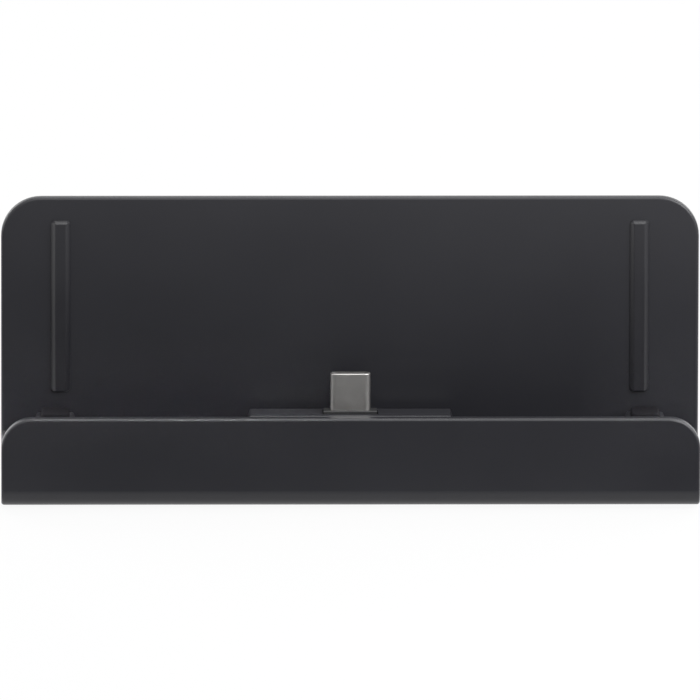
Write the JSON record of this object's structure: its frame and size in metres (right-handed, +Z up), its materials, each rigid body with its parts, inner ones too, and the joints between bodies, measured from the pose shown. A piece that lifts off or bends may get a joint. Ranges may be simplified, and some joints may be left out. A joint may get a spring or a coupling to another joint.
{
  "type": "charging dock",
  "caption": "Black charging dock for a handheld console: leaning back plate, front lip and tray with an upright plug, and a fold-out rear leg.",
  "frame": {"origin": "middle of the footprint, on the surface that the dock stands on", "axes": "+X along the lip to the right seen from the front, +Y to the back, +Z up"},
  "size_m": [0.142, 0.043, 0.056],
  "materials": {
    "black_plastic": "satin moulded plastic",
    "strip_elastomer": "satin soft elastomer",
    "black_rubber": "matte rubber",
    "carrier_plastic": "matte moulded plastic",
    "insulator_plastic": "matte moulded plastic",
    "plug_steel": "satin nickel plated steel",
    "hinge_steel": "ground steel",
    "screw_steel": "blackened steel",
    "contact_brass": "gold plated contact",
    "board_laminate": "solder mask",
    "chip_resin": "moulded resin",
    "capacitor_ceramic": "fired ceramic"
  },
  "bodies": {
    "dock": {"front_shell": "black_plastic", "rear_cover": "black_plastic", "bottom_cover": "black_plastic", "rest_pad_left": "black_rubber", "rest_pad_right": "black_rubber", "foot_front_left": "black_rubber", "foot_front_right": "black_rubber", "foot_rear_left": "black_rubber", "foot_rear_right": "black_rubber", "back_strip_left": "strip_elastomer", "back_strip_right": "strip_elastomer", "hinge_pin_left": "hinge_steel", "hinge_pin_right": "hinge_steel", "friction_washers_left": "hinge_steel", "friction_washers_right": "hinge_steel", "bottom_cover_screws": "screw_steel", "board_screws": "screw_steel", "rear_cover_screws": "screw_steel", "plug_carrier": "carrier_plastic", "plug_shell": "plug_steel", "plug_insulator": "insulator_plastic", "plug_contacts": "contact_brass", "main_board": "board_laminate", "board_chips": "chip_resin", "board_capacitors": "capacitor_ceramic", "inlet_shell": "plug_steel", "inlet_tongue": "insulator_plastic"},
    "leg": {"leg_panel": "black_plastic", "leg_foot_strip": "black_rubber"}
  },
  "joints": [
    {"name": "leg_hinge", "type": "hinge", "parent": "dock", "child": "leg", "pos_m": [0, 0.01332, 0.04421], "axis": [1, 0, 0], "range_deg": [-24, 46]}
  ]
}
